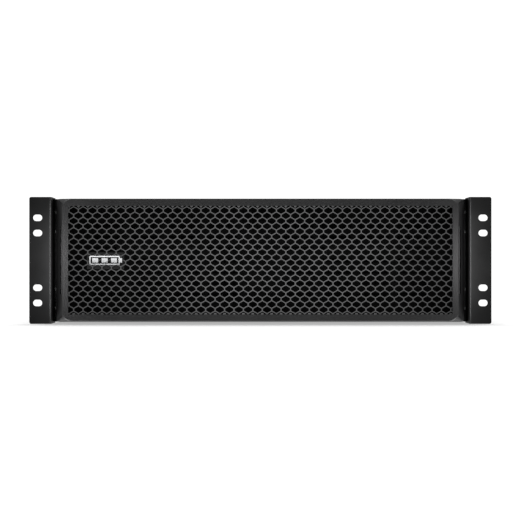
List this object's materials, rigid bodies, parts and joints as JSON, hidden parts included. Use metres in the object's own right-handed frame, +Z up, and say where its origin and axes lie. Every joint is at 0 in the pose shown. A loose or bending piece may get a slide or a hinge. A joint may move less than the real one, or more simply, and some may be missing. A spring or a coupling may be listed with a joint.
{
  "type": "server rack battery",
  "caption": "Rack-mounted battery cabinet with slotted ears, a pull-off honeycomb bezel, a front door, sliding battery modules and rear power connectors.",
  "frame": {"origin": "centre of the rack slot pattern, on the back faces of the two ear flanges", "axes": "+X to the right as seen from the front, +Y from the front to the back, +Z up"},
  "size_m": [0.4826, 0.7105, 0.1324],
  "materials": {
    "chassis_paint": "satin",
    "door_paint": "matte",
    "ear_paint": "satin",
    "zinc_steel": "satin",
    "black_screws": "satin",
    "runner_nylon": "matte",
    "insulation_film": "satin",
    "connector_plastic": "matte",
    "copper_contacts": "satin",
    "board_laminate": "gloss",
    "board_components": "satin",
    "port_shield": "satin",
    "red_lead": "satin",
    "black_lead": "satin",
    "rating_foil": "satin",
    "breaker_lever_plastic": "satin",
    "handle_plastic": "matte",
    "bezel_plastic": "matte",
    "bezel_inner_plastic": "matte",
    "grille_plastic": "satin",
    "badge_silver": "satin",
    "block_plastic": "satin"
  },
  "bodies": {
    "chassis": {"base_pan": "chassis_paint", "top_cover": "chassis_paint", "rear_panel": "chassis_paint", "rack_ear_left": "ear_paint", "rack_ear_right": "ear_paint", "centre_divider": "zinc_steel", "bulkhead": "zinc_steel", "bay_runners": "runner_nylon", "side_guides": "zinc_steel", "insulation_sheet": "insulation_film", "ear_screws": "black_screws", "top_cover_screws": "black_screws", "rear_panel_screws": "black_screws", "dock_socket_left": "connector_plastic", "dock_socket_right": "connector_plastic", "dock_contacts": "copper_contacts", "monitor_board": "board_laminate", "board_standoffs": "zinc_steel", "board_parts": "board_components", "signal_cable": "black_lead", "comm_ports": "port_shield", "dc_connector_left": "connector_plastic", "dc_connector_right": "connector_plastic", "dc_contacts": "copper_contacts", "breaker_body": "connector_plastic", "positive_leads": "red_lead", "negative_leads": "black_lead", "ground_stud": "zinc_steel", "ground_nut": "zinc_steel", "rating_plate": "rating_foil"},
    "left_battery_module": {"module_tray_left": "chassis_paint", "battery_blocks_left": "block_plastic", "battery_terminals_left": "copper_contacts", "cell_links_left": "copper_contacts", "hold_down_straps_left": "zinc_steel", "module_handle_left": "handle_plastic", "handle_screws_left": "zinc_steel", "module_leads_left": "black_lead", "dock_plug_left": "connector_plastic"},
    "right_battery_module": {"module_tray_right": "chassis_paint", "battery_blocks_right": "block_plastic", "battery_terminals_right": "copper_contacts", "cell_links_right": "copper_contacts", "hold_down_straps_right": "zinc_steel", "module_handle_right": "handle_plastic", "handle_screws_right": "zinc_steel", "module_leads_right": "black_lead", "dock_plug_right": "connector_plastic"},
    "door": {"battery_door": "door_paint", "bezel_ball_studs": "zinc_steel"},
    "upper_thumbscrew": {"thumbscrew_upper": "handle_plastic"},
    "lower_thumbscrew": {"thumbscrew_lower": "handle_plastic"},
    "bezel": {"bezel_frame": "bezel_plastic", "bezel_clips": "bezel_inner_plastic", "grille": "grille_plastic", "grille_retainers": "grille_plastic", "badge_plate": "bezel_inner_plastic", "badge_symbol": "badge_silver"},
    "breaker_switch": {"breaker_lever": "breaker_lever_plastic"}
  },
  "joints": [
    {"name": "left_module_slide", "type": "slide", "parent": "chassis", "child": "left_battery_module", "axis": [0, -1, 0], "range_m": [0, 0.62]},
    {"name": "right_module_slide", "type": "slide", "parent": "chassis", "child": "right_battery_module", "axis": [0, -1, 0], "range_m": [0, 0.62]},
    {"name": "door_pull", "type": "slide", "parent": "chassis", "child": "door", "axis": [0, -1, 0], "range_m": [0, 0.7]},
    {"name": "bezel_pull", "type": "slide", "parent": "door", "child": "bezel", "axis": [0, -1, 0], "range_m": [0, 0.12]},
    {"name": "upper_thumbscrew_turn", "type": "hinge", "parent": "door", "child": "upper_thumbscrew", "pos_m": [0, 0.02, 0.042], "axis": [0, 1, 0], "continuous": true},
    {"name": "lower_thumbscrew_turn", "type": "hinge", "parent": "door", "child": "lower_thumbscrew", "pos_m": [0, 0.02, -0.042], "axis": [0, 1, 0], "continuous": true},
    {"name": "breaker_throw", "type": "hinge", "parent": "chassis", "child": "breaker_switch", "pos_m": [0, 0.681, 0], "axis": [1, 0, 0], "range_deg": [-70, 0]}
  ],
  "couplings": [
    {"joint": "right_module_slide", "follows": "left_module_slide", "ratio": 1},
    {"joint": "door_pull", "follows": "left_module_slide", "ratio": 1.1}
  ]
}
